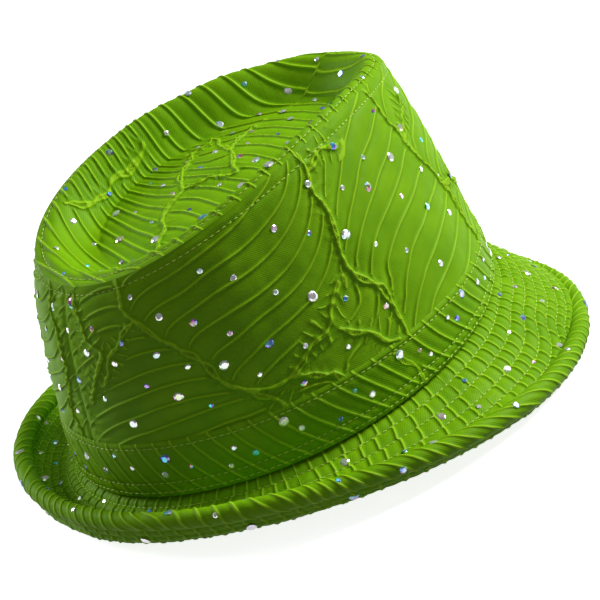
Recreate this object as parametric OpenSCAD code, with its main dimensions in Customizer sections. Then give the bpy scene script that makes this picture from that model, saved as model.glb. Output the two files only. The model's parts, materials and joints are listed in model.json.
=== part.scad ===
// Soft dress hat with a dented oval tip, a sewn band and a stitched brim that is
// turned down in front and rolled up at the sides and back.
// +Z is up, +Y is the back of the head and +X is the wearer's left.
// Every cloth layer is a closed skin between two heights over one surface.

/* [Crown] */
// Half width of the crown where it meets the brim
base_half_w = 85.1; // [82:0.1:90]
// Half length of the crown where it meets the brim
base_half_l = 105; // [101:0.5:110]
// Drop of the base seam at the back, and its rise at the front
base_pitch = 9.6; // [7:0.1:11]
// Rise of the base seam at both ends against the sides
base_sway = 1.8; // [1:0.1:2.5]
// Height of the band's top edge above the base seam
band_h = 23; // [19:0.5:27]
// Height of the tip seam above the middle of the base seam
crown_h = 102.3; // [96:0.1:108]
// Half width of the tip seam
tip_half_w = 61.1; // [57:0.1:65]
// Half length of the tip seam
tip_half_l = 90; // [87:0.5:93]
// How far the middle of the tip lies behind the middle of the base
tip_mid_y = 2.3; // [0:0.1:4]
// Extra width of the tip towards the back, as a share
tip_egg = 0.2; // [0.1:0.01:0.25]
// Extra width that keeps the front end of the tip from being pointed, as a share
tip_blunt = 0.12; // [0:0.01:0.15]
// Drop of the tip seam at the back, and its rise at the front
tip_pitch = 12.4; // [10:0.1:14]
// Rise of the tip seam at both sides against the ends
tip_sway = 6.2; // [4:0.1:8]
// How far the crown side stands out from a straight line
side_bulge = 3; // [1:0.1:5]

/* [Dent in the tip] */
// Height of the rolled rim over the tip seam
rim_h = 2.5; // [1.5:0.1:3.5]
// Height of the dent's floor at its highest place
floor_h = 97; // [94:0.5:99]
// Where that highest place is, along the hat
floor_top_y = -58; // [-62:1:-50]
// How fast the floor falls away towards the back
floor_fall = 0.0012; // [0.0008:0.0001:0.0014]

/* [Brim] */
// Reach of the brim at the sides, as worn
reach_side = 39.2; // [36:0.1:42]
// Reach of the brim at the back, where it is rolled up
reach_back = 18.5; // [17:0.1:22]
// Reach of the brim at the front
reach_front = 26.5; // [26:0.1:30]
// Depth that the rolled-up brim drops before it turns
dip = 11.2; // [9:0.1:12]
// Roundness of the roll at the sides
belly_side = 11.8; // [10:0.1:13]
// Roundness of the roll at the back
belly_back = 17.4; // [15:0.1:18]
// Radius of the rolled edge
edge_r = 4; // [3.6:0.1:4.4]

/* [Layers] */
// Thickness of the tucked outer cloth
cloth_t = 1; // [0.8:0.05:1]
// Thickness of the stiffener behind it
stiffener_t = 0.8; // [0.5:0.05:0.8]
// Thickness of the lining
lining_t = 0.5; // [0.3:0.05:0.5]
// Thickness of the sweatband
sweatband_t = 0.9; // [0.6:0.05:0.9]
// Thickness of the elastic behind the sweatband
elastic_t = 0.6; // [0.4:0.05:0.6]
// Thickness of the tape label
label_t = 0.4; // [0.2:0.05:0.4]
// Radius of the cord inside the rolled edge
cord_r = 2.2; // [1.8:0.1:2.3]

/* [Stitching and dots] */
// Width of a topstitch thread
thread_w = 0.5; // [0.3:0.05:0.6]
// Radii of the three sizes of foil dot
dot_sizes = [1.2, 1.6, 2.2];
// Thickness of a foil dot
dot_t = 0.25; // [0.2:0.05:0.3]

/* [Hidden] */

cloth = "YellowGreen";
thread = "GreenYellow";
buckram = "WhiteSmoke";
lining = "OliveDrab";
foil = "Silver";

around = 48;                 // places round the hat at which every skin is shaped
play = 0.1;                  // air between neighbouring layers
brim_rows = 8;               // stitched channels across the brim
brim_half_t = 1.2;           // half of the brim's whole thickness
core_half_t = 0.4;           // half of the interlining's thickness
inset = 2.6;                 // how far the brim reaches in under the crown's edge
mouth = 38;                  // half angle of the gap that the brim enters the rolled edge by
side_rows = [0.03, 1, 1.08, 1.3, 1.55, 1.78, 1.95, 1.994];
tip_rows = [0.007, 0.04, 0.085, 0.14, 0.2, 0.27, 0.36, 0.62];
inner_side_rows = [0.06, 1, 1.08, 1.4, 1.75, 1.95];
inner_tip_rows = [0.04, 0.085, 0.14, 0.2, 0.27, 0.36, 0.62];
back_seam = 90.1;            // where the panels that go round the crown are joined
seam_end = back_seam + 359.8; // their other end, a hair short of the first
band_t = 0.8;                // thickness of the band, and of the cloth round the rolled edge
dot_gap = 0.35;              // height of a foil dot's back over the surface it sits on

stiffener_out = -cloth_t - play;
lining_out = stiffener_out - stiffener_t - 2 * play;
elastic_out = lining_out - lining_t - 3 * play;
sweatband_out = elastic_out - elastic_t - 2 * play;
label_out = sweatband_out - sweatband_t - 2 * play;

function smooth(lo, hi, x) = let (t = max(0, min(1, (x - lo) / (hi - lo)))) t * t * (3 - 2 * t);
function mix(p, q, t) = p + (q - p) * t;
function unit(v) = v / norm(v);

// Seams, each a tilted oval. Angle 0 is the wearer's left side and 90 is the back.
function front(a) = max(-sin(a), 0);
function base_seam(a) = [base_half_w * cos(a), base_half_l * sin(a),
  -base_pitch * sin(a) - base_sway * cos(2 * a)];
function band_seam(a) = [(base_half_w - 0.4) * cos(a), 0.9 + (base_half_l - 1.4) * sin(a),
  band_h - 0.73 * base_pitch * sin(a) - 0.4 * base_sway * cos(2 * a)];
function tip_seam(a) = [tip_half_w * cos(a) * (1 + tip_egg * sin(a) + tip_blunt * pow(front(a), 4)),
  tip_mid_y + tip_half_l * sin(a), crown_h - tip_pitch * sin(a) + tip_sway * cos(2 * a)];
function outward(a) = unit([cos(a) / base_half_w, sin(a) / base_half_l, 0]);

// Crown side: u runs from 0 at the base seam to 1 at the band's top and 2 at the tip seam
function swell(k) = 3.785 * side_bulge * k * (1 - k) * (0.5 + k);
function crown(a, u) = u <= 1
  ? mix(base_seam(a), band_seam(a), u)
  : mix(band_seam(a), tip_seam(a), u - 1) + swell(u - 1) * (1 - 0.7 * pow(front(a), 2)) * outward(a);

// Tip: q runs from 0 at the seam, over the rolled rim and down the wall of the dent, to 1
function dent_floor(y) = floor_h - floor_fall * pow(y - floor_top_y, 2);
function tip(a, q) =
  let (rim = tip_seam(a), at = mix(rim, [0, tip_mid_y, 0], q),
       top = rim[2] + rim_h * (1 - pow(1 - min(q / 0.1, 1), 2)),
       low = dent_floor(at[1]) + 2.5 * smooth(0.3, 1, q))
  [at[0], at[1], mix(top, low, smooth(0.07, 0.31, q))];

// Brim: t runs from 0 under the crown's edge to 1 at the middle of the rolled edge
function brim_reach(a) = let (s = sin(a), end = s > 0 ? reach_back : reach_front)
  mix(reach_side, end, s * s);
function edge_z(a) = -10.9 + 5.5 * sin(a) - 0.25 * cos(2 * a) + 2.35 * sin(3 * a) - 3.5 * pow(front(a), 6);
function brim_section(a, t) =
  let (s = sin(a), curl = smooth(-0.9, -0.4, s), w = brim_reach(a),
       rise = edge_z(a) - base_seam(a)[2],
       belly = mix(belly_side, belly_back, pow(max(s, 0), 2)),
       p0 = [-inset, -brim_half_t - 0.3],
       p1 = mix([0.33 * w, 0.33 * rise + 3.2], [0.45 * w, -dip], curl),
       p2 = mix([0.67 * w, 0.72 * rise + 2.1], [1.07 * w, rise - belly], curl))
  pow(1 - t, 3) * p0 + 3 * pow(1 - t, 2) * t * p1 + 3 * (1 - t) * t * t * p2 + pow(t, 3) * [w, rise];
function brim(a, t) = let (at = brim_section(a, t)) base_seam(a) + at[0] * outward(a) + [0, 0, at[1]];

// Where the brim's layers stop, a little short of the cord in the rolled edge
function brim_end(a) = 1 - 0.02 * (cord_r + 0.5) / norm(brim(a, 1) - brim(a, 0.98));

// A point at height h over a surface, which is given as a function of two places on it
function over(skin, a, u, h) =
  let (along = skin(a + 1, u) - skin(a - 1, u),
       across = skin(a, u + 0.01) - skin(a, u - 0.01))
  skin(a, u) + h * unit(cross(along, across));
on_crown = function (a, u, h) over(function (a, u) crown(a, u), a, u, h);
on_tip = function (a, q, h) over(function (a, q) tip(a, q), a, q, h);
on_brim = function (a, t, h) over(function (a, t) brim(a, t * brim_end(a)), a, t, -h);

// Rolled edge: an angle of 0 faces the brim, 90 is under it, 180 is the outermost line
on_edge = function (a, turn, r)
  let (back = unit(brim(a, 0.94) - brim(a, 1)), side = cross(back, unit(brim(a + 1, 1) - brim(a - 1, 1))))
  brim(a, 1) + r * (cos(turn) * back + sin(turn) * side);

// Rows of the brim, which are also the places of its stitch rows
brim_line = [for (i = [0:brim_rows]) i / brim_rows];

// The hat stands on the lowest places of its brim, with its plan centred on the origin
round_trip = [for (i = [0:around - 1]) 360 * i / around];
lowest = min([for (a = round_trip)
  min([brim(a, 1)[2] - edge_r, for (t = brim_line) on_brim(a, t, -brim_half_t)[2]])]);
shift = [0, (reach_front - reach_back) / 2, -lowest];

// A skin swept round the hat. The section is a loop of [place, height] pairs.
module sweep(skin, section, from = 0, to = 360, steps = around) {
  whole = to - from == 360;
  n = len(section);
  rings = whole ? steps : steps + 1;
  points = [for (i = [0:rings - 1], s = section) skin(from + (to - from) * i / steps, s[0], s[1])];
  walls = [for (i = [0:steps - 1], j = [0:n - 1])
    let (p = i * n, q = ((i + 1) % rings) * n, k = (j + 1) % n)
    each [[p + j, q + j, q + k], [p + j, q + k, p + k]]];
  ends = whole ? [] : [for (j = [0:n / 2 - 2], last = [0, (rings - 1) * n])
    let (loop = [last + j, last + j + 1, last + n - 2 - j, last + n - 1 - j])
    each last == 0
      ? [[loop[0], loop[1], loop[2]], [loop[0], loop[2], loop[3]]]
      : [[loop[2], loop[1], loop[0]], [loop[3], loop[2], loop[0]]]];
  translate(shift) polyhedron(points, concat(walls, ends), convexity = 6);
}

// The section of a layer, from its near face round to its far one. The near face is the
// inner one on the crown and in the rolled edge, and the upper one on the brim.
function layer(rows, near, far) =
  concat([for (u = rows) [u, near]], [for (i = [len(rows) - 1:-1:0]) [rows[i], far]]);

// The section of a thread that lies at height h, half_u to each side of place u
function thread_section(u, half_u, h) = layer([u - half_u, u + half_u], h, h + thread_w);

// A skin over the whole tip, closed by a point at its middle
module tip_skin(rows, outer, inner) {
  n = len(rows);
  points = concat(
    [for (h = [outer, inner], q = rows, a = round_trip) on_tip(a, q, h)],
    [for (h = [outer, inner]) tip(0, 1) + [0, 0, h]]);
  m = n * around;
  faces = [for (j = [0:around - 1]) let (k = (j + 1) % around, last = (n - 1) * around) each concat(
    [for (i = [0:n - 2]) let (p = i * around, q = p + around) each [
      [p + j, q + k, p + k], [p + j, q + j, q + k],
      [m + p + j, m + p + k, m + q + k], [m + p + j, m + q + k, m + q + j]]],
    [[last + j, 2 * m, last + k], [m + last + j, m + last + k, 2 * m + 1],
     [j, k, m + k], [j, m + k, m + j]])];
  translate(shift) polyhedron(points, faces, convexity = 6);
}

// Foil dots, evenly spread in a golden-ratio order with a little scatter. A turn_step of
// 0 takes them once round the hat, and the golden angle lays them out over a disc.
golden = (sqrt(5) - 1) / 2;
function scatter(i, k) = (sin(i * 127.1 + k * 311.7) * 43.7) % 1 / 2;
function dot_r(i) = dot_sizes[[0, 1, 0, 2, 0, 1, 1, 0, 2, 0][(i * 7) % 10]];
module dots(skin, count, u_from, u_to, lift, turn_step = 0, floor_gap = 0) {
  for (i = [0:count - 1]) {
    along = (i + 0.5 + scatter(i, 1)) / count;
    across = (i * golden + 0.12 * scatter(i, 2) + 1) % 1;
    a = turn_step == 0 ? 360 * along : turn_step * i;
    u = mix(u_from, u_to, turn_step == 0 ? across : along);
    point = skin(a, u, lift) + shift;
    up = unit(skin(a, u, lift + 1) + shift - point);
    if (point[2] > floor_gap)
      translate(point) rotate([0, acos(up[2]), atan2(up[1], up[0])])
        cylinder(h = dot_t, r = dot_r(i), $fn = 24);
  }
}

// Outer cloth
module crown_tip() { color(cloth) tip_skin(tip_rows, 0, -cloth_t); }
module crown_side() { color(cloth) sweep(on_crown, layer(side_rows, -cloth_t, 0), back_seam, seam_end); }
module hat_band() {
  color(cloth) sweep(on_crown, layer([0.04, 1], play, play + band_t), back_seam, seam_end);
}
module brim_top() { color(cloth) sweep(on_brim, layer(brim_line, brim_half_t, core_half_t + play)); }
module brim_under() { color(cloth) sweep(on_brim, layer(brim_line, -core_half_t - play, -brim_half_t)); }
module edge_binding() {
  color(cloth) sweep(on_edge, layer([for (i = [0:8]) mix(mouth, 360 - mouth, i / 8)], edge_r - band_t, edge_r));
}

// Stiffening and filling
module brim_interlining() { color(buckram) sweep(on_brim, layer(brim_line, core_half_t, -core_half_t)); }
module tip_stiffener() { color(buckram) tip_skin(inner_tip_rows, stiffener_out, stiffener_out - stiffener_t); }
module side_stiffener() {
  color(buckram) sweep(on_crown, layer(inner_side_rows, stiffener_out - stiffener_t, stiffener_out));
}
module edge_cord() { color("Ivory") sweep(on_edge, [for (turn = [315:-45:0]) [turn, cord_r]]); }

// Inside of the crown
module tip_lining() { color(lining) tip_skin(inner_tip_rows, lining_out, lining_out - lining_t); }
module side_lining() { color(lining) sweep(on_crown, layer(inner_side_rows, lining_out - lining_t, lining_out)); }
module sweatband() {
  color("DarkOliveGreen")
    sweep(on_crown, layer([-0.06, 1, 1.09], sweatband_out - sweatband_t, sweatband_out), back_seam, seam_end);
}
module sweatband_elastic() {
  color("White") sweep(on_crown, layer([0.2, 0.8], elastic_out - elastic_t, elastic_out), 50, 130, 12);
}
module care_label() {
  color("White") sweep(on_crown, layer([0.25, 0.95], label_out - label_t, label_out), 82, 98, 4);
}

// Topstitching
module tip_seam_topstitch() {
  color(thread) {
    sweep(on_tip, thread_section(0.04, 0.003, play));
    sweep(on_crown, thread_section(1.95, 0.003, play));
  }
}
module band_topstitch() {
  color(thread) for (u = [0.09, 0.26, 0.92]) sweep(on_crown, thread_section(u, 0.011, 2 * play + band_t));
}
module brim_topstitch() {
  half = 0.005;
  color(thread) for (i = [1:brim_rows - 1])
    sweep(on_brim, layer([i / brim_rows - half, i / brim_rows + half], brim_half_t + play + thread_w,
      brim_half_t + play));
}

// Foil dots
module tip_dots() {
  even = function (a, v, h) on_tip(a, 1 - sqrt(1 - v), h);
  color(foil) dots(even, 70, 0.07, 0.99, dot_gap, turn_step = 360 * golden);
}
module side_dots() { color(foil) dots(on_crown, 130, 1.06, 1.92, dot_gap); }
module band_dots() { color(foil) dots(on_crown, 60, 0.34, 0.84, band_t + dot_gap); }
module brim_dots() { color(foil) dots(on_brim, 90, 0.12, 0.9, brim_half_t + dot_gap); }
module under_brim_dots() {
  color(foil) dots(on_brim, 80, 0.12, 0.9, -brim_half_t - dot_gap - dot_t, floor_gap = 2.5);
}
module edge_dots() {
  color(foil) dots(on_edge, 30, mouth + 30, 320 - mouth, edge_r + dot_gap, floor_gap = 2.5);
}

crown_tip();
crown_side();
hat_band();
brim_top();
brim_interlining();
brim_under();
edge_binding();
edge_cord();
tip_stiffener();
side_stiffener();
tip_lining();
side_lining();
sweatband();
sweatband_elastic();
care_label();
tip_seam_topstitch();
band_topstitch();
brim_topstitch();
tip_dots();
side_dots();
band_dots();
brim_dots();
under_brim_dots();
edge_dots();
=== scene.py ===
# A soft dress hat of tucked green satin, put together in the order a hat maker sews it.
# Sizes are in millimetres and turn into metres where a piece's mesh is filled.
import json
from math import pi, radians

import bmesh
import bpy
import numpy as np
from mathutils import Matrix, Vector


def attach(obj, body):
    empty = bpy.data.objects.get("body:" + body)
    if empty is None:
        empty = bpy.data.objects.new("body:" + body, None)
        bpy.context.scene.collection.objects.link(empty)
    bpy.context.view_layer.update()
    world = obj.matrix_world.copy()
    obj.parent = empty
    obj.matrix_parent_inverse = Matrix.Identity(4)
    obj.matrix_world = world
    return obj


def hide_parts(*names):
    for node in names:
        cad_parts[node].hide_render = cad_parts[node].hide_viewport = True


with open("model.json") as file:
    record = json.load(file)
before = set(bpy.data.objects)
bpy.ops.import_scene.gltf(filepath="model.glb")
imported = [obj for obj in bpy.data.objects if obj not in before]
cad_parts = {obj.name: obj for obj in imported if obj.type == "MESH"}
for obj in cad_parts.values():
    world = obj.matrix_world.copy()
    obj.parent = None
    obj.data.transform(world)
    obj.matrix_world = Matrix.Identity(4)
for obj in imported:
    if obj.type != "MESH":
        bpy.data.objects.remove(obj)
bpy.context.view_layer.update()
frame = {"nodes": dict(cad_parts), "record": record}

# Studio: a wide white paper floor, a big soft lamp on the camera's right, a weaker one behind the
# hat on the left and a faint one overhead. The camera is behind the wearer's right shoulder.
camera_azimuth, camera_elevation, camera_roll = 236.31, 21.86, -17.95
camera_place = (-0.88425, 0.57748, 0.46898)
camera_lens = 156.48

camera = bpy.data.objects.new("camera", bpy.data.cameras.new("camera"))
camera.data.lens = camera_lens
camera.matrix_world = (
    Matrix.Translation(camera_place)
    @ Matrix.Rotation(radians(camera_azimuth), 4, "Z")
    @ Matrix.Rotation(radians(90 - camera_elevation), 4, "X")
    @ Matrix.Rotation(radians(camera_roll), 4, "Z")
)
bpy.context.scene.collection.objects.link(camera)
bpy.context.scene.camera = camera
bpy.context.scene.view_settings.view_transform = "Standard"


def soft_lamp(name, azimuth, elevation, distance, side, power):
    """A square lamp that looks at the hat from an angle round it and a height over the floor."""
    lamp = bpy.data.objects.new(name, bpy.data.lights.new(name, "AREA"))
    lamp.data.shape = "SQUARE"
    lamp.data.size = side
    lamp.data.energy = power
    lamp.matrix_world = (
        Matrix.Translation((0, 0, 0.06))
        @ Matrix.Rotation(radians(azimuth), 4, "Z")
        @ Matrix.Rotation(radians(90 - elevation), 4, "Y")
        @ Matrix.Translation((0, 0, distance))
    )
    bpy.context.scene.collection.objects.link(lamp)


soft_lamp("key_lamp", azimuth=250, elevation=36, distance=1.6, side=0.55, power=29)
soft_lamp("back_lamp", azimuth=22, elevation=24, distance=1.8, side=0.6, power=16)
soft_lamp("top_lamp", azimuth=200, elevation=80, distance=1.8, side=0.9, power=3)

world = bpy.data.worlds.new("studio_air")
bpy.context.scene.world = world
world.use_nodes = True
world.node_tree.nodes["Background"].inputs["Color"].default_value = (1, 1, 1, 1)
world.node_tree.nodes["Background"].inputs["Strength"].default_value = 0.16


def new_material(name, sockets):
    """A material whose uniform values sit on the shader's own sockets."""
    material = bpy.data.materials.new(name)
    material.use_nodes = True
    shader = material.node_tree.nodes["Principled BSDF"]
    for socket, value in sockets.items():
        shader.inputs[socket].default_value = value
    return material, shader


def add_node(material, kind, inputs=(), **settings):
    """A shader node with its settings, whose inputs are values or other nodes' outputs."""
    made = material.node_tree.nodes.new("ShaderNode" + kind)
    for name, value in settings.items():
        setattr(made, name, value)
    for socket, value in dict(inputs).items():
        if isinstance(value, bpy.types.NodeSocket):
            material.node_tree.links.new(value, made.inputs[socket])
        else:
            made.inputs[socket].default_value = value
    return made


def new_piece(name, mesh_or_bmesh, material):
    """An object at the origin, from a mesh or from a bmesh that is finished with."""
    if isinstance(mesh_or_bmesh, bmesh.types.BMesh):
        mesh = bpy.data.meshes.new(name)
        mesh_or_bmesh.to_mesh(mesh)
        mesh_or_bmesh.free()
    else:
        mesh = mesh_or_bmesh
    mesh.materials.append(material)
    piece = bpy.data.objects.new(name, mesh)
    bpy.context.scene.collection.objects.link(piece)
    return piece


paper, paper_shader = new_material("white_paper", {"Roughness": 0.9, "Emission Strength": 0.85})
paper_shader.inputs["Emission Color"].default_value = (1, 1, 1, 1)
paper_fibre = add_node(paper, "TexNoise", {"Scale": 40.0, "Detail": 3.0})
paper_tone = add_node(paper, "ValToRGB", {"Fac": paper_fibre.outputs["Fac"]})
paper_tone.color_ramp.elements[0].color = (0.66, 0.66, 0.66, 1)
paper_tone.color_ramp.elements[1].color = (0.7, 0.7, 0.7, 1)
paper.node_tree.links.new(paper_tone.outputs["Color"], paper_shader.inputs["Base Color"])

floor_drop = 0.001
floor_shape = bmesh.new()
bmesh.ops.create_circle(floor_shape, cap_ends=True, segments=64, radius=8,
                        matrix=Matrix.Translation((0, 0, -floor_drop)))
floor = new_piece("floor", floor_shape, paper)
floor.visible_diffuse = False  # The paper glows white but throws no light up on the hat.

# Tip: an oval of tucked satin, creased along its middle over a stiff core. Its edge rolls over
# a rim, its walls drop into the dent, and fine cords are sewn into it as parallel tucks.
mm = 0.001
seat = np.array(frame["record"]["mounts"][0]["pos_m"])
base_half_w, base_half_l, base_pitch, base_sway = 85.1, 105, 9.6, 1.8
band_h, crown_h = 23, 102.3
tip_half_w, tip_half_l, tip_mid_y = 61.1, 90, 2.3
tip_egg, tip_blunt, tip_pitch, tip_sway = 0.2, 0.12, 12.4, 6.2
rim_h, floor_h, floor_top_y, floor_fall = 2.5, 97, -58, 0.0012


def smooth(low, high, x):
    t = np.clip((x - low) / (high - low), 0, 1)
    return t * t * (3 - 2 * t)


def mix(p, q, t):
    return p + (q - p) * t


def unit(v):
    return v / np.linalg.norm(v, axis=-1, keepdims=True)


def points(x, y, z):
    return np.stack(np.broadcast_arrays(x, y, z), -1).astype(float)


def around(a):
    """Cosine and sine of an angle in degrees. 0 is the wearer's left and 90 the back."""
    return np.cos(np.radians(a)), np.sin(np.radians(a))


def tip_seam(a):
    c, s = around(a)
    blunt = tip_blunt * np.maximum(-s, 0) ** 4
    return points(tip_half_w * c * (1 + tip_egg * s + blunt), tip_mid_y + tip_half_l * s,
                  crown_h - tip_pitch * s + tip_sway * around(2 * a)[0])


def tip(a, q):
    """The tip's surface: q runs from 0 at the seam, over the rim and down the wall, to 1."""
    rim = tip_seam(a)
    at = mix(rim, np.array([0, tip_mid_y, 0]), q[..., None])
    top = rim[..., 2] + rim_h * (1 - (1 - np.minimum(q / 0.1, 1)) ** 2)
    floor_z = floor_h - floor_fall * (at[..., 1] - floor_top_y) ** 2 + 2.5 * smooth(0.3, 1, q)
    return points(at[..., 0], at[..., 1], mix(top, floor_z, smooth(0.07, 0.31, q)))


def over(skin, a, u, height):
    """A point at a height over a surface, which is a function of two places on it."""
    a, u, height = np.broadcast_arrays(np.asarray(a, float), u, height)
    along = skin(a + 0.5, u) - skin(a - 0.5, u)
    across = skin(a, u + 0.005) - skin(a, u - 0.005)
    return skin(a, u) + height[..., None] * unit(np.cross(along, across))


def ripple(x, y, size, seed):
    """Smooth random swelling between -1 and 1, in lumps of a size."""
    i, j = np.floor(x / size), np.floor(y / size)
    f, g = x / size - i, y / size - j
    f, g = f * f * (3 - 2 * f), g * g * (3 - 2 * g)

    def lump(m, n):
        value = np.sin((i + m) * 127.1 + (j + n) * 311.7 + seed * 74.7) * 43758.5453
        return 2 * (value - np.floor(value)) - 1

    return mix(mix(lump(0, 0), lump(1, 0), f), mix(lump(0, 1), lump(1, 1), f), g)


def gather(x, y, line):
    """How far a place is to the side of a gathering line, and how far along the line it is."""
    nearest, place, walked = np.full(np.shape(x), 1e9), np.zeros(np.shape(x)), 0
    for (x0, y0), (x1, y1) in zip(line, line[1:]):
        dx, dy = x1 - x0, y1 - y0
        length = np.hypot(dx, dy)
        t = np.clip(((x - x0) * dx + (y - y0) * dy) / length ** 2, 0, 1)
        off = np.hypot(x - x0 - t * dx, y - y0 - t * dy)
        off = np.where((x - x0) * dy > (y - y0) * dx, off, -off)
        place = np.where(abs(off) < abs(nearest), walked + t * length, place)
        nearest = np.where(abs(off) < abs(nearest), off, nearest)
        walked += length
    return nearest, place


def tucked(x, y, phase, spacing, gathers=()):
    """Height of tucked cloth over its own surface, in mm, and what the shader needs of it.
    A tuck runs wherever phase(x, y) is a whole number. Each gather is a line of places with
    the height of its two twisted strands and of the short folds across it, which take the
    tucks' place where they are high."""
    step, strand_reach, fold_pitch, far = 0.4, 1.9, 4.4, 9.0
    turn = phase(x, y)
    slope = np.hypot(phase(x + step, y) - phase(x - step, y),
                     phase(x, y + step) - phase(x, y - step))
    apart = np.clip(2 * step / np.maximum(slope, 1e-6), 1.5, 1.6 * spacing)
    calm, bunched, folded = np.ones(np.shape(x)), np.zeros(np.shape(x)), np.zeros(np.shape(x))
    beside = np.full(np.shape(x), far)
    for line, strand_height, fold_height in gathers:
        off, place = gather(x, y, line)
        calm = calm * (1 - np.exp(-(off / 1.8) ** 2))
        for swing, length in ((1.3, 27), (-0.9, 19)):
            strand = off + 1.1 * ripple(place, 0 * place, 7, swing)
            strand = strand + swing * np.sin(2 * pi * place / length)
            twist = 0.88 + 0.12 * np.cos(2 * pi * (place / 2.4 + strand / 3))
            bunched = np.maximum(bunched, strand_height * twist * np.exp(-(strand / 0.72) ** 2))
            beside = np.where((abs(strand) < abs(beside)) & (strand_height > 0.3), strand, beside)
        bend = place + 0.25 * abs(off) + 1.6 * ripple(place, off, 6, 7)
        folds = np.exp(-(((bend / fold_pitch + 0.5) % 1 - 0.5) * fold_pitch / 0.8) ** 2) - 0.3
        reach = 5 + 3 * ripple(place, np.sign(off), 9, 12)
        close = np.exp(-(off / reach) ** 4)
        bunched = bunched + fold_height * folds * close
        if fold_height > 0.65:
            calm = calm * (1 - 0.85 * close)
            folded = np.where(close > 0.4, bend / fold_pitch, folded)
    from_tuck = np.abs(turn - np.round(turn)) * apart
    firm = calm * np.minimum(1, apart / (0.6 * spacing))
    ridge = 0.95 * np.exp(-(from_tuck / 0.6) ** 2) - 0.25 * np.exp(-(from_tuck / 1.9) ** 2)
    pillow = 0.22 * smooth(0, 0.5 * spacing, from_tuck)
    pucker = 0.5 * ripple(x, y, 21, 1) + 0.3 * ripple(x, y, 10, 2) + 0.1 * ripple(x, y, 4, 3)
    drawn = np.where(folded != 0, folded, turn)
    wide = np.where(folded != 0, fold_pitch / 10, apart / 10 + 1.5 * (1 - calm) ** 2)
    drawn = np.where(abs(beside) < strand_reach, beside / (2 * strand_reach), drawn)
    wide = np.where(abs(beside) < strand_reach, strand_reach / 5, wide)
    shown = points(np.cos(2 * pi * drawn), np.sin(2 * pi * drawn), wide)
    return firm * (ridge + pillow) + bunched + pucker, shown


tip_gathers = [
    ([(-20, 60), (-14, 52), (-3, 40), (3, 30), (5, 20), (14, 14), (22, 4)], 1.1, 0.4),
    ([(5, 20), (-2, 12), (-13, 4), (-4, -4), (7, -10), (12, -19), (14, -30)], 1.1, 0.6),
    ([(47, 52), (45, 40), (49, 28), (47, 18), (50, 4)], 0.6, 0.5),
    ([(22, 4), (30, -6), (32, -18)], 0.8, 0.7),
    ([(-30, -44), (-22, -56), (-8, -62)], 0.5, 0.45),
    ([(7, -10), (20, -14), (30, -18)], 0.6, 0.6),
]
tip_ridge = [(-95, 10), (-40, 16), (-19, 12), (-10, 6), (3, -13), (20, 5), (32, 2), (55, -17),
             (95, -30)]
tip_spacing = 8


def tip_phase(x, y):
    """Tucks across the tip, broken along its crooked gathering line."""
    crease = np.interp(y, *zip(*tip_ridge))
    right = x > crease
    lean = np.where(right, mix(0.3, -0.32, smooth(-20, 45, y)), 0.04) * (x - crease)
    droop = np.where(right, 3.2 * np.exp(-((x - crease) / 12) ** 2),
                     -2.5 * np.exp(-((x - crease) / 9) ** 2))
    return (y - lean + droop + 2.2 * ripple(x, y, 34, 8)) / tip_spacing + 0.4 * right


def tip_relief(a, q):
    at = tip(a, q)
    height, shown = tucked(at[..., 0], at[..., 1], tip_phase, tip_spacing, tip_gathers)
    sewn = 0.45 * np.exp(-((q - 0.04) / 0.012) ** 2) + 0.3 * np.exp(-((q - 0.31) / 0.016) ** 2)
    return 0.85 * height * smooth(0, 0.05, q) - sewn, shown


def grid_mesh(name, columns, rows, shape):
    """A mesh from a square grid whose vertices are moved to where shape(x, y) says, for x and y
    from 0 to 1. shape gives places in mm, the tuck attribute and the lay of the cloth."""
    bm = bmesh.new()
    bmesh.ops.create_grid(bm, x_segments=columns, y_segments=rows, size=0.5)
    mesh = bpy.data.meshes.new(name)
    bm.to_mesh(mesh)
    bm.free()
    flat = np.zeros(len(mesh.vertices) * 3, np.float32)
    mesh.vertices.foreach_get("co", flat)
    flat = flat.reshape(-1, 3).astype(float) + 0.5
    place, shown, lay = shape(flat[:, 0], flat[:, 1])
    mesh.vertices.foreach_set("co", (place * mm + seat).astype(np.float32).ravel())
    for title, values in (("tuck", shown), ("lay", lay * mm)):
        layer = mesh.attributes.new(title, "FLOAT_VECTOR", "POINT")
        layer.data.foreach_set("vector", values.astype(np.float32).ravel())
    return mesh


def closed_ring(mesh):
    """The two ends of a strip that goes right round are joined."""
    bm = bmesh.new()
    bm.from_mesh(mesh)
    ends = [v for v in bm.verts if v.is_boundary]
    bmesh.ops.remove_doubles(bm, verts=ends, dist=0.02 * mm)
    for face in bm.faces:
        face.smooth = True
    bm.to_mesh(mesh)
    bm.free()
    return mesh


def pressed_disc(x, y):
    """A square grid pressed to a disc, as the tip's angle and its place inwards."""
    u, v = 2 * x - 1, 2 * y - 1
    p, r = u * np.sqrt(1 - v * v / 2), v * np.sqrt(1 - u * u / 2)
    return np.degrees(np.arctan2(r, p)), 1 - np.minimum(np.hypot(p, r), 1)


def over_tip(a, q, height):
    """Over the tip's surface, or straight up from it near its middle, where it is level."""
    level = smooth(0.93, 0.98, q)[..., None]
    upright = tip(a, q) + points(0, 0, height)
    return mix(over(tip, a, np.minimum(q, 0.985), height), upright, level)


def tip_shape(x, y):
    a, q = pressed_disc(x, y)
    height, shown = tip_relief(a, q)
    at = over_tip(a, q, height)
    return at, shown, at * [1, 1, 0]


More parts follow.
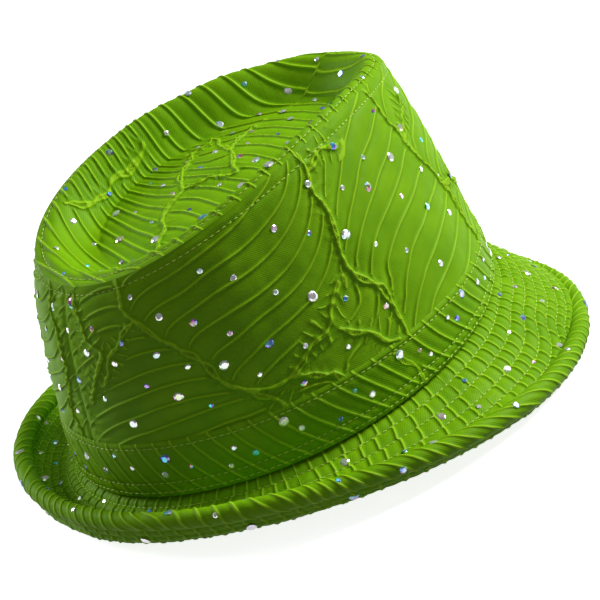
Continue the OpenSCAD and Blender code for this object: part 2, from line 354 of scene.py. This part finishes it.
def tucked_satin(name, base, ridge_highlight, dark):
    """Satin with a painted highlight along each tuck's top and painted shade beside it."""
    cloth, shader = new_material(
        name, {"Roughness": 0.5, "Specular IOR Level": 0.06, "Sheen Weight": 0.05,
               "Sheen Roughness": 0.4, "Sheen Tint": (0.45, 0.8, 0.1, 1)})
    tuck = add_node(cloth, "Attribute", attribute_name="tuck")
    parts = add_node(cloth, "SeparateXYZ", {0: tuck.outputs["Vector"]})
    angle = add_node(cloth, "Math", {0: parts.outputs["Y"], 1: parts.outputs["X"]},
                     operation="ARCTAN2")
    size = add_node(cloth, "Math", {0: angle.outputs[0]}, operation="ABSOLUTE")
    off = add_node(cloth, "Math", {0: size.outputs[0], 1: parts.outputs["Z"]},
                   operation="MULTIPLY")
    ridge = add_node(cloth, "MapRange", {0: off.outputs[0], 1: 0.05, 2: 0.5, 3: 1.0, 4: 0.0},
                     interpolation_type="SMOOTHSTEP")
    beside = add_node(cloth, "MapRange", {0: off.outputs[0], 1: 0.45, 2: 1.5, 3: 1.0, 4: 0.0},
                      interpolation_type="SMOOTHSTEP")
    place = add_node(cloth, "TexCoord")
    patch = add_node(cloth, "TexNoise", {"Vector": place.outputs["Object"], "Scale": 45.0,
                                         "Detail": 4.0})
    tone = add_node(cloth, "ValToRGB", {"Fac": patch.outputs["Fac"]})
    tone.color_ramp.elements[0].position = 0.3
    tone.color_ramp.elements[0].color = (*dark, 1)
    tone.color_ramp.elements[1].position = 0.7
    tone.color_ramp.elements[1].color = (*base, 1)
    # Painted shade: the colour is darkened beside each tuck, where the fold shades the cloth.
    shade = add_node(cloth, "MixRGB", {1: tone.outputs["Color"], 2: (*dark, 1)})
    half = add_node(cloth, "Math", {0: beside.outputs[0], 1: 0.85}, operation="MULTIPLY")
    cloth.node_tree.links.new(half.outputs[0], shade.inputs["Fac"])
    # Painted highlight: the top of each tuck takes the pale colour, as if it caught the lamps.
    light = add_node(cloth, "MixRGB", {0: ridge.outputs[0], 1: shade.outputs["Color"],
                                       2: (*ridge_highlight, 1)})
    cloth.node_tree.links.new(light.outputs["Color"], shader.inputs["Base Color"])
    lay = add_node(cloth, "Attribute", attribute_name="lay")
    twill = add_node(cloth, "TexWave", {"Vector": lay.outputs["Vector"], "Scale": 620.0,
                                        "Distortion": 1.5}, bands_direction="DIAGONAL")
    slub = add_node(cloth, "TexNoise", {"Vector": place.outputs["Object"], "Scale": 900.0,
                                        "Detail": 3.0})
    fine = add_node(cloth, "Math", {0: slub.outputs["Fac"], 1: 0.2}, operation="MULTIPLY")
    woven = add_node(cloth, "Math", {0: twill.outputs["Fac"], 1: 0.1, 2: fine.outputs[0]},
                     operation="MULTIPLY_ADD")
    raised = add_node(cloth, "Math", {0: ridge.outputs[0], 1: 0.8, 2: woven.outputs[0]},
                      operation="MULTIPLY_ADD")
    bump = add_node(cloth, "Bump", {"Strength": 0.8, "Distance": 0.0005,
                                    "Height": raised.outputs[0]})
    cloth.node_tree.links.new(bump.outputs[0], shader.inputs["Normal"])
    return cloth


# The pale colour is the painted highlight on the tucks; the dark one serves both the random patches
# and the painted shade beside the tucks.
satin = tucked_satin("tucked_satin", base=(0.22, 0.475, 0.0025), ridge_highlight=(0.33, 0.62, 0.01),
                     dark=(0.15, 0.37, 0.001))
tip_cloth = new_piece("tip_cloth", closed_ring(grid_mesh("tip_cloth", 300, 300, tip_shape)), satin)
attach(tip_cloth, "root")
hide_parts("crown_tip")

# Crown side: one strip of the same satin round the stiff core, joined up the back. Its tucks run
# up towards thick twisted gathering cords that cross the strip every hand's breadth.
side_bulge = 3
back_seam = 90.1
side_pace = 1.6
half_round, full_round = 180 * side_pace, 360 * side_pace
side_lay = 80
seam_line = [(-7, 104), (-6, 60), (-7, 10)]
side_lines = [
    [(35, 110), (43, 82), (60, 65), (70, 52), (77, 40), (82, 35), (99, 33), (115, 26), (124, 10)],
    [(141, 110), (141, 94), (139, 74), (137, 59), (141, 50), (147, 44), (150, 35), (147, 10)],
    [(198, 110), (200, 90), (201, 77), (209, 63), (214, 52), (217, 41), (221, 10)],
    [(270, 110), (278, 84), (284, 62), (276, 40), (286, 10)],
]
# For each stretch between two lines: lean, rise from the left line and over what length, rise
# into the right line and over what length
side_climbs = [(0.02, 27, 27, -9, 12), (0.1, 6, 6, 19, 12), (0.15, 21, 13, 3, 8),
               (0.2, 9, 8, 12, 15)]
side_spacing = 9.4
side_branches = [
    [(8, 98), (14, 82), (22, 70), (16, 58), (9, 46)],
    [(43, 82), (35, 76), (27, 66), (20, 56)],
    [(82, 35), (90, 29), (97, 20)],
    [(99, 33), (112, 41), (122, 46), (131, 55)],
    [(124, 40), (134, 33), (145, 24)],
    [(141, 94), (150, 98), (160, 96)],
    [(201, 77), (212, 82), (224, 90)],
    [(214, 52), (226, 50), (240, 44)],
]


def base_seam(a):
    c, s = around(a)
    return points(base_half_w * c, base_half_l * s, -base_pitch * s - base_sway * around(2 * a)[0])


def band_seam(a):
    c, s = around(a)
    return points((base_half_w - 0.4) * c, 0.9 + (base_half_l - 1.4) * s,
                  band_h - 0.73 * base_pitch * s - 0.4 * base_sway * around(2 * a)[0])


def outward(a):
    c, s = around(a)
    return unit(points(c / base_half_w, s / base_half_l, 0))


def crown(a, u):
    """The crown side's surface: u is 0 at the base seam, 1 at the band's top, 2 at the tip."""
    k, front = u - 1, np.maximum(-around(a)[1], 0)
    swell = 3.785 * side_bulge * k * (1 - k) * (0.5 + k) * (1 - 0.7 * front ** 2)
    low = mix(base_seam(a), band_seam(a), u[..., None])
    high = mix(band_seam(a), tip_seam(a), k[..., None]) + swell[..., None] * outward(a)
    return np.where(u[..., None] <= 1, low, high)


def side_phase(x, y):
    """Tucks between the gathering lines. The pattern of a half round comes twice."""
    x = x + 5 * np.sin(x / half_round * pi) ** 2 * np.floor(x / half_round)
    second = np.floor(np.clip(x / half_round, 0, 1.999))
    x = x - half_round * second
    edges = [np.zeros(np.shape(x))]
    edges += [np.interp(y, *zip(*[(h, w) for w, h in line[::-1]])) for line in side_lines]
    edges += [np.full(np.shape(x), half_round + 40)]
    turn = np.zeros(np.shape(x))
    for i, (left, right) in enumerate(zip(edges, edges[1:])):
        lean, rise, reach, last_rise, last_reach = side_climbs[i % len(side_climbs)]
        climb = lean * x + rise * (1 - np.exp(-np.maximum(x - left, 0) / reach))
        climb = climb + last_rise * np.exp(-np.maximum(right - x, 0) / last_reach)
        inside = (x >= left) & (x < right)
        turn = np.where(inside, (y - climb) / side_spacing + 0.37 * i + 0.21 * second, turn)
    return turn + 0.3 * ripple(x, y, 38, 4) + 0.08 * ripple(x, y, 14, 6)


def shifted(line, by):
    return [(x + by, y) for x, y in line]


side_gathers = [(shifted(line, h), 1.25, 0.42) for line in side_lines for h in (0, half_round)]
side_gathers += [(shifted(line, h), 1.0, 0.75) for line in side_branches for h in (0, half_round)]
side_gathers += [(shifted(seam_line, h), 0.1, 0.5) for h in (14, full_round)]


def side_relief(a, u):
    x = (a - back_seam) * side_pace
    y = crown_h * np.where(u <= 1, u * band_h / crown_h, mix(band_h / crown_h, 1, u - 1))
    height, shown = tucked(x, y, side_phase, side_spacing, side_gathers)
    to_seam = np.minimum(x, full_round - x)
    free = smooth(0.5, 5, to_seam) * smooth(0.97, 1.02, u) * smooth(2, 1.96, u)
    sewn = 0.7 * np.exp(-(to_seam / 1.5) ** 2) + 0.4 * np.exp(-((u - 1.95) / 0.014) ** 2)
    return height * free - sewn * smooth(0.9, 1, u) * smooth(2, 1.97, u), shown


def strip(skin, relief, low, high):
    """The shape of a strip that goes once round the hat, between two places on a surface."""
    def shape(x, y):
        a, u = back_seam + 360 * x, low + (high - low) * y
        height, shown = relief(a, u)
        at = over(skin, a, u, height)
        return at, shown, points((a - back_seam) * side_pace, u * band_h, 0)
    return shape


def side_shape(x, y):
    """Few rows lie hidden behind the band."""
    few, band_top = 0.04, 0.95
    u = np.where(y < few, mix(0, band_top, y / few), mix(band_top, 2, (y - few) / (1 - few)))
    a = back_seam + 360 * x
    height, shown = side_relief(a, u)
    return over(crown, a, u, height), shown, points((a - back_seam) * side_pace, u * side_lay, 0)


side_cloth = new_piece("side_cloth", closed_ring(
    grid_mesh("side_cloth", 720, 134, side_shape)), satin)
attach(side_cloth, "root")
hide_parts("crown_side")

# Band: a strip of the satin sewn round the foot of the crown with its tucks on the slant and
# both edges turned in, so that they stand round and a little proud.
band_t = 0.9
band_tucks, band_spacing = 66, 9
band_rows = (0.09, 0.26, 0.92)


def band_phase(x, y):
    slanted = x / side_pace + 0.5 * y - 0.006 * (y - 11) ** 2
    return slanted * band_tucks / 360 + 0.22 * ripple(x, y, 30, 11)


band_gathers = [(shifted([(140, 20), (146, 12), (150, 3)], h), 0.4, 0.3) for h in (0, 120, 300, 410)]


def band_relief(a, u):
    x = (a - back_seam) * side_pace
    height, shown = tucked(x, u * band_h, band_phase, band_spacing, band_gathers)
    to_edge = np.minimum(u - 0.02, 1.01 - u) * band_h
    turned_in = np.sqrt(1 - (1 - np.clip(to_edge / 1.4, 0, 1)) ** 2)
    to_seam = np.minimum(x, full_round - x)
    free = smooth(0.2, 2.5, to_edge) * smooth(0.5, 5, to_seam)
    rows = sum(np.exp(-((u - row) * band_h / 0.9) ** 2) for row in band_rows)
    return 0.1 + (band_t + 0.8 * height * free - 0.4 * rows) * turned_in, shown


band_cloth = new_piece("band_cloth", closed_ring(
    grid_mesh("band_cloth", 720, 44, strip(crown, band_relief, 0.02, 1.01))), satin)
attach(band_cloth, "root")
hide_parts("hat_band")

# Brim: two rings of the satin over a stiff interlining, quilted with rows of stitches. It is
# turned down in front and rolled up at the sides and back.
reach_side, reach_back, reach_front = 39.2, 18.5, 26.5
dip, belly_side, belly_back = 11.2, 11.8, 17.4
edge_r, cord_r = 4, 2.2
brim_half_t, brim_inset, brim_rows, brim_cloth_w = 1.2, 2.6, 8, 44
brim_tucks, brim_spacing = 98, 7


def edge_z(a):
    s = around(a)[1]
    front = np.maximum(-s, 0) ** 6
    return -10.9 + 5.5 * s - 0.25 * around(2 * a)[0] + 2.35 * around(3 * a)[1] - 3.5 * front


def brim(a, t):
    """The brim's middle surface: t is 0 under the crown's edge and 1 in the rolled edge."""
    a, t = np.broadcast_arrays(a, t)
    s = around(a)[1]
    curl = smooth(-0.9, -0.4, s)[..., None]
    w = mix(reach_side, np.where(s > 0, reach_back, reach_front), s * s)
    start = base_seam(a)
    rise = edge_z(a) - start[..., 2]
    belly = mix(belly_side, belly_back, np.maximum(s, 0) ** 2)

    def bend(x, y):
        return np.stack(np.broadcast_arrays(x, y), -1)

    p0 = bend(-brim_inset + 0 * w, -brim_half_t - 0.3)
    p1 = mix(bend(0.33 * w, 0.33 * rise + 3.2), bend(0.45 * w, -dip), curl)
    p2 = mix(bend(0.67 * w, 0.72 * rise + 2.1), bend(1.07 * w, rise - belly), curl)
    p3 = bend(w, rise)
    t = t[..., None]
    at = (1 - t) ** 3 * p0 + 3 * (1 - t) ** 2 * t * p1 + 3 * (1 - t) * t * t * p2 + t ** 3 * p3
    return start + at[..., :1] * outward(a) + points(0 * w, 0 * w, at[..., 1])


def brim_to_cord(a, t):
    """The brim again, with 1 a little short of the cord in its edge."""
    end = 1 - 0.02 * (cord_r + 0.5) / np.linalg.norm(brim(a, 1.0) - brim(a, 0.98), axis=-1)
    return brim(a, t * end)


def brim_relief(a, t, seed):
    """Height over the middle surface: quilted channels with tucks running across them."""
    def phase(x, y):
        sway = 2.2 * np.sin(np.radians(4 * x / side_pace + 60 * seed)) + 0.2 * y
        channel = np.floor(y / brim_cloth_w * brim_rows)
        return x * brim_tucks / full_round + (sway + wobble(x, y, channel)) / brim_spacing

    def wobble(x, y, channel):
        x = x % full_round
        ends = smooth(0, 30, x) * smooth(0, 30, full_round - x)
        each = ripple(x, 31.7 * channel, 11, seed + 3)
        return ends * (3.4 * ripple(x, y, 24, seed) + 1.5 * each)

    creases = [([(start, 2), (start + 5, 14), (start + 1, 26), (start + 8, 42)], 0.3, 0.45)
               for start in range(20, 560, 67)]

    row = t * brim_rows
    x, y = (a - back_seam) * side_pace, brim_cloth_w * t
    height, shown = tucked(x, y, phase, brim_spacing, creases)
    from_row = np.abs(row - np.round(row)) * brim_cloth_w / brim_rows
    to_seam = np.minimum(x, full_round - x)
    free = smooth(0.2, 6, to_seam) * smooth(1, 0.96, t)
    quilted = 0.35 * smooth(0, 2.5, from_row) - 0.3 * np.exp(-(from_row / 0.7) ** 2)
    tucks = 0.75 * height * free * mix(0.45, 1, smooth(0, 1.4, from_row))
    return brim_half_t + tucks + quilted, shown


def brim_piece(name, node, side, seed):
    """One face of the brim: side is 1 for the upper face and -1 for the under one."""
    def shape(x, y):
        a, t = back_seam + 360 * x, np.where(side > 0, 1 - y, y)
        height, shown = brim_relief(a, t, seed)
        at = over(brim_to_cord, a, t, -side * height)
        return at, shown, points((a - back_seam) * side_pace, brim_cloth_w * t, 0)

    piece = new_piece(name, closed_ring(grid_mesh(name, 960, 84, shape)), satin)
    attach(piece, "root")
    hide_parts(node)


brim_piece("brim_top_cloth", "brim_top", 1, 21)
brim_piece("brim_under_cloth", "brim_under", -1, 27)

# Rolled edge: the satin is wrapped round a soft cord and sewn down tight, which gathers it into
# small folds that lie across the roll. One end laps over the other inside the brim.
edge_tucks, edge_spacing = 104, 6.6
edge_cloth_w = 25


def rolled_edge(a, turn):
    """The roll's surface: a turn of 0 faces the brim, 0.25 is under it and 0.5 outermost."""
    back = unit(brim(a, 0.94) - brim(a, 1.0))
    side = np.cross(back, unit(brim(a + 1, 1.0) - brim(a - 1, 1.0)))
    c, s = around(360 * turn)
    return brim(a, 1.0) + edge_r * (c[..., None] * back + s[..., None] * side)


def edge_relief(a, turn):
    def phase(x, y):
        ends = smooth(0, 30, x) * smooth(0, 30, full_round - x)
        sway = 0.7 * np.sin(np.radians(6 * x / side_pace)) + 0.8 * ends * ripple(x, y, 17, 41)
        return x * edge_tucks / full_round + sway + y / 8

    x, y = (a - back_seam) * side_pace, edge_cloth_w * turn
    height, shown = tucked(x, y, phase, edge_spacing)
    to_seam = np.minimum(x, full_round - x)
    to_edge = smooth(0, 0.09, np.minimum(turn, 1 - turn))
    tucked_in = 0.5 * smooth(0.97, 1.02, turn)
    return 0.62 * height * smooth(0.2, 4, to_seam) * to_edge - tucked_in, shown


edge_roll = new_piece("edge_roll", closed_ring(
    grid_mesh("edge_roll", 1300, 40, strip(rolled_edge, edge_relief, 0, 1.02))), satin)
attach(edge_roll, "root")
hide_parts("edge_binding")

# Topstitching: short even stitches of lighter polyester thread, sunk a little into the cloth,
# along the tip seam, the band's edges and the rows that quilt the brim.
stitch_pitch, stitch_share, stitch_half_w, stitch_lift = 3.0, 0.72, 0.24, 0.2


def stitch_row(skin, relief, u, sign=1):
    """Where each stitch of a row lies, right round the hat at one place on a surface."""
    a = back_seam + np.linspace(0, 360, 1441)
    u = np.full(a.shape, u)
    path = over(skin, a, u, sign * (relief(a, u)[0] + stitch_lift))
    walked = np.concatenate([[0], np.cumsum(np.linalg.norm(np.diff(path, axis=0), axis=1))])
    count = round(walked[-1] / stitch_pitch)
    starts = np.arange(count) * walked[-1] / count
    ends = starts + stitch_share * walked[-1] / count
    first, last = [np.stack([np.interp(d, walked, path[:, k]) for k in range(3)], 1)
                   for d in (starts, ends)]
    lies = []
    for p, q in zip(first * mm + seat, last * mm + seat):
        along = Vector(q - p)
        lie = Matrix.Translation((p + q) / 2) @ along.to_track_quat("Z", "Y").to_matrix().to_4x4()
        half = Matrix.Diagonal((stitch_half_w * mm, stitch_half_w * mm, along.length / 2, 1))
        lies.append(lie @ half)
    return lies


def copies(name, shape, lies):
    """A mesh with a copy of one small shape at each of many places."""
    one = bpy.data.meshes.new(name + "_one")
    shape.to_mesh(one)
    corners = np.array([v.co[:] + (1,) for v in one.vertices])
    faces = [list(face.vertices) for face in one.polygons]
    places = np.concatenate([(corners @ np.array(lie).T)[:, :3] for lie in lies])
    mesh = bpy.data.meshes.new(name)
    mesh.from_pydata(places, [], [[k + i * len(corners) for k in face]
                                  for i in range(len(lies)) for face in faces])
    bpy.data.meshes.remove(one)
    return mesh


thread, thread_shader = new_material("topstitch_thread", {"Roughness": 0.45, "Sheen Weight": 0.3})
thread_place = add_node(thread, "TexCoord")
thread_twist = add_node(thread, "TexWave", {"Vector": thread_place.outputs["Object"], "Scale": 700.0},
                        bands_direction="DIAGONAL")
thread_tone = add_node(thread, "ValToRGB", {"Fac": thread_twist.outputs["Fac"]})
thread_tone.color_ramp.elements[0].color = (0.50, 0.72, 0.05, 1)
thread_tone.color_ramp.elements[1].color = (0.66, 0.86, 0.10, 1)
thread.node_tree.links.new(thread_tone.outputs["Color"], thread_shader.inputs["Base Color"])
thread_bump = add_node(thread, "Bump", {"Strength": 0.5, "Distance": 0.0002,
                                        "Height": thread_twist.outputs["Fac"]})
thread.node_tree.links.new(thread_bump.outputs[0], thread_shader.inputs["Normal"])


def under_relief(a, t):
    return brim_relief(a, t, 27)


def upper_relief(a, t):
    return brim_relief(a, t, 21)


brim_stitch_rows = [i / brim_rows for i in range(1, brim_rows)]
for stitches, node, rows in (
    ("tip_stitches", "tip_seam_topstitch",
     [(tip, tip_relief, 0.04, 1), (crown, side_relief, 1.95, 1)]),
    ("band_stitches", "band_topstitch", [(crown, band_relief, u, 1) for u in band_rows]),
    ("brim_stitches", "brim_topstitch",
     [(brim_to_cord, upper_relief, t, -1) for t in brim_stitch_rows]),
    ("brim_under_stitches", None,
     [(brim_to_cord, under_relief, t, 1) for t in brim_stitch_rows[:5]]),
):
    one_stitch = bmesh.new()
    bmesh.ops.create_uvsphere(one_stitch, u_segments=6, v_segments=4, radius=1)
    stitch_mesh = copies(stitches, one_stitch, [lie for row in rows for lie in stitch_row(*row)])
    stitch_mesh.shade_smooth()
    one_stitch.free()
    stitched = new_piece(stitches, stitch_mesh, thread)
    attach(stitched, "root")
    if node:
        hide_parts(node)

# Foil dots: small cut discs of holographic foil glued on the cloth in three sizes, evenly
# scattered, each leaning a little its own way so that they glint one at a time.
foil_sizes = [1.2, 1.6, 2.2]
foil_order = [0, 1, 0, 2, 0, 1, 1, 0, 2, 0]
golden = (5 ** 0.5 - 1) / 2


def scatter(i, k):
    return np.fmod(np.sin(np.radians(i * 127.1 + k * 311.7)) * 43.7, 1) / 2


foil, foil_shader = new_material("holographic_foil", {"Metallic": 0.65, "Roughness": 0.2})
foil_tint = add_node(foil, "Attribute", attribute_name="tint")
foil_tone = add_node(foil, "ValToRGB", {"Fac": foil_tint.outputs["Fac"]})
foil_ramp = foil_tone.color_ramp
foil_ramp.interpolation = "CONSTANT"
foil_ramp.elements[0].color = (0.9, 0.95, 0.93, 1)
foil_ramp.elements[1].color = (0.95, 0.95, 0.95, 1)
foil_ramp.elements[1].position = 0.82
for where, tint in ((0.22, (0.75, 0.85, 0.9)), (0.38, (0.22, 0.45, 0.8)), (0.5, (0.35, 0.78, 0.85)),
                    (0.6, (0.85, 0.72, 0.7)), (0.7, (0.4, 0.45, 0.5))):
    foil_ramp.elements.new(where).color = (*tint, 1)
foil_place = add_node(foil, "TexCoord")
foil_cells = add_node(foil, "TexVoronoi", {"Vector": foil_place.outputs["Object"], "Scale": 620.0})
foil_glint = add_node(foil, "MixRGB", {0: 0.85, 1: foil_tone.outputs["Color"],
                                       2: foil_cells.outputs["Color"]}, blend_type="OVERLAY")
foil.node_tree.links.new(foil_glint.outputs["Color"], foil_shader.inputs["Base Color"])


def foil_dots(name, node, skin, relief, count, low, high, sign=1, disc=False, floor_gap=0):
    """Dots in golden-ratio order, once round a strip or laid out over a disc."""
    bm = bmesh.new()
    tint = bm.verts.layers.float.new("tint")
    for i in range(count):
        along = (i + 0.5 + scatter(i, 1)) / count
        across = (i * golden + 0.12 * scatter(i, 2) + 1) % 1
        a = np.array(360 * golden * i if disc else 360 * along)
        if not disc and a < back_seam:
            a = a + 360
        u = np.array(1 - (1 - mix(low, high, along)) ** 0.5 if disc else mix(low, high, across))
        lift = relief(a, u)[0] + 0.2
        at = over(skin, a, u, sign * lift) * mm + seat
        up = Vector(over(skin, a, u, sign * (lift + 1)) * mm + seat - at).normalized()
        if at[2] < floor_gap * mm:
            continue
        lean = Vector((scatter(i, 3), scatter(i, 4), scatter(i, 5))) * 0.25
        r = foil_sizes[foil_order[i * 7 % 10]] * mm
        lie = Matrix.Translation(at) @ (up + lean).to_track_quat("Z", "Y").to_matrix().to_4x4()
        made = bmesh.ops.create_cone(bm, cap_ends=True, segments=10, radius1=r, radius2=0.62 * r,
                                     depth=0.22 * r, matrix=lie)
        for vert in made["verts"]:
            vert[tint] = (i * golden * 3.7) % 1
    dots = new_piece(name, bm, foil)
    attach(dots, "root")
    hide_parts(node)


foil_dots("tip_foils", "tip_dots", tip, tip_relief, 70, 0.07, 0.99, disc=True)
foil_dots("side_foils", "side_dots", crown, side_relief, 130, 1.06, 1.92)
foil_dots("band_foils", "band_dots", crown, band_relief, 60, 0.34, 0.84)
foil_dots("brim_foils", "brim_dots", brim_to_cord, upper_relief, 90, 0.12, 0.9, sign=-1)
foil_dots("brim_under_foils", "under_brim_dots", brim_to_cord, under_relief, 80, 0.12, 0.9,
          floor_gap=2.5)
foil_dots("edge_foils", "edge_dots", rolled_edge, edge_relief, 30, 0.19, 0.78, floor_gap=2.5)

# Stiffening and filling: buckram behind the tip, the side and inside the brim, and a soft cord
# in the rolled edge. All are hidden. The tip's is remade smooth, to follow the dent closely.


def plain_weave(name, light, dark, threads, roughness=0.8, depth=0.0002):
    """Cloth of crossed threads, whose number is given to the metre."""
    cloth, shader = new_material(name, {"Roughness": roughness})
    place = add_node(cloth, "TexCoord")
    sets = [add_node(cloth, "TexWave", {"Vector": place.outputs["Object"], "Scale": threads * pi / 10,
                                        "Distortion": 0.6}, bands_direction=way) for way in "XYZ"]
    crossed = add_node(cloth, "Math", {0: sets[0].outputs["Fac"], 1: sets[1].outputs["Fac"]},
                       operation="MAXIMUM")
    woven = add_node(cloth, "Math", {0: crossed.outputs[0], 1: sets[2].outputs["Fac"]},
                     operation="MULTIPLY")
    tone = add_node(cloth, "ValToRGB", {"Fac": woven.outputs[0]})
    tone.color_ramp.elements[0].color = (*dark, 1)
    tone.color_ramp.elements[1].color = (*light, 1)
    bump = add_node(cloth, "Bump", {"Strength": 0.6, "Distance": depth,
                                    "Height": woven.outputs[0]})
    cloth.node_tree.links.new(tone.outputs["Color"], shader.inputs["Base Color"])
    cloth.node_tree.links.new(bump.outputs[0], shader.inputs["Normal"])
    return cloth


def refinish(node, material):
    """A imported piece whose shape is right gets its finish."""
    for place in frame["nodes"][node].material_slots:
        place.material = material


buckram = plain_weave("buckram", (0.86, 0.86, 0.8), (0.55, 0.55, 0.5), threads=900)
for node in ("brim_interlining", "side_stiffener"):
    refinish(node, buckram)


def inner_tip(out):
    """The shape of a layer under the tip cloth, at a height over its surface."""
    def shape(x, y):
        a, q = pressed_disc(x, y)
        at = over_tip(a, q, out + 0 * q)
        return at, 0 * at, at
    return shape


def thin_shell(piece, thickness):
    """A sheet gets its thickness."""
    wall = piece.modifiers.new("thickness", "SOLIDIFY")
    wall.thickness = thickness * mm
    wall.offset = 0


tip_core_out, tip_core_t = -1.6, 0.7
tip_core = new_piece("tip_buckram", closed_ring(
    grid_mesh("tip_buckram", 110, 110, inner_tip(tip_core_out))), buckram)
thin_shell(tip_core, tip_core_t)
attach(tip_core, "root")
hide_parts("tip_stiffener")
refinish("edge_cord", plain_weave("cotton_cord", (0.84, 0.82, 0.72), (0.6, 0.57, 0.48),
                                  threads=1100))

# Lining: smooth thin cloth in a darker green, a disc under the tip and a strip round the side,
# hung loose inside the stiffening, so that it lies in soft waves.
lining_out, lining_t = -2.6, 0.4
lining = plain_weave("smooth_lining", (0.17, 0.32, 0.03), (0.11, 0.22, 0.02), threads=2400,
                     roughness=0.5)


def hanging(a, u):
    x = (a - back_seam) * side_pace
    calm_seam = smooth(0, 12, np.minimum(x, full_round - x))
    waves = 0.22 * calm_seam * ripple(x, 60 * u, 22, 31)
    return lining_out - 0.25 + waves, points(0 * a, 0 * a, 0 * a)


for name, node, mesh in (
    ("tip_lining_cloth", "tip_lining",
     grid_mesh("tip_lining_cloth", 90, 90, inner_tip(lining_out + 0.2))),
    ("side_lining_cloth", "side_lining",
     grid_mesh("side_lining_cloth", 240, 30, strip(crown, hanging, 0.06, 2))),
):
    lining_piece = new_piece(name, closed_ring(mesh), lining)
    thin_shell(lining_piece, lining_t)
    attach(lining_piece, "root")
    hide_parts(node)

# Sweatband: a ribbed cotton band sewn in round the opening, with a strip of elastic behind it
# at the back of the head and a blank tape label on it.
sweatband_out, sweatband_t = -4.15, 0.8

rib, rib_shader = new_material("ribbed_cotton", {"Roughness": 0.85, "Sheen Weight": 0.2})
rib_lay = add_node(rib, "Attribute", attribute_name="lay")
rib_wave = add_node(rib, "TexWave", {"Vector": rib_lay.outputs["Vector"], "Scale": 165.0,
                                     "Distortion": 0.4}, bands_direction="X")
rib_cross = add_node(rib, "TexWave", {"Vector": rib_lay.outputs["Vector"], "Scale": 500.0,
                                      "Distortion": 1.0}, bands_direction="Y")
rib_sum = add_node(rib, "Math", {0: rib_cross.outputs["Fac"], 1: 0.3, 2: rib_wave.outputs["Fac"]},
                   operation="MULTIPLY_ADD")
rib_tone = add_node(rib, "ValToRGB", {"Fac": rib_sum.outputs[0]})
rib_tone.color_ramp.elements[0].color = (0.06, 0.13, 0.02, 1)
rib_tone.color_ramp.elements[1].color = (0.15, 0.28, 0.05, 1)
rib_bump = add_node(rib, "Bump", {"Strength": 0.7, "Distance": 0.0004, "Height": rib_sum.outputs[0]})
rib.node_tree.links.new(rib_tone.outputs["Color"], rib_shader.inputs["Base Color"])
rib.node_tree.links.new(rib_bump.outputs[0], rib_shader.inputs["Normal"])


def sweatband_fall(a, u):
    x = (a - back_seam) * side_pace
    waves = 0.25 * smooth(0, 12, np.minimum(x, full_round - x)) * ripple(x, 40 * u, 26, 35)
    return sweatband_out + waves, points(0 * a, 0 * a, 0 * a)


sweatband = new_piece("sweatband_cotton", closed_ring(
    grid_mesh("sweatband_cotton", 360, 14, strip(crown, sweatband_fall, -0.06, 1.09))), rib)
thin_shell(sweatband, sweatband_t)
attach(sweatband, "root")
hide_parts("sweatband")

refinish("sweatband_elastic", plain_weave("woven_elastic", (0.9, 0.9, 0.88), (0.66, 0.66, 0.64),
                                          threads=1300))
refinish("care_label", plain_weave("blank_tape", (0.93, 0.93, 0.91), (0.84, 0.84, 0.82),
                                   threads=3000, roughness=0.4, depth=0.00006))
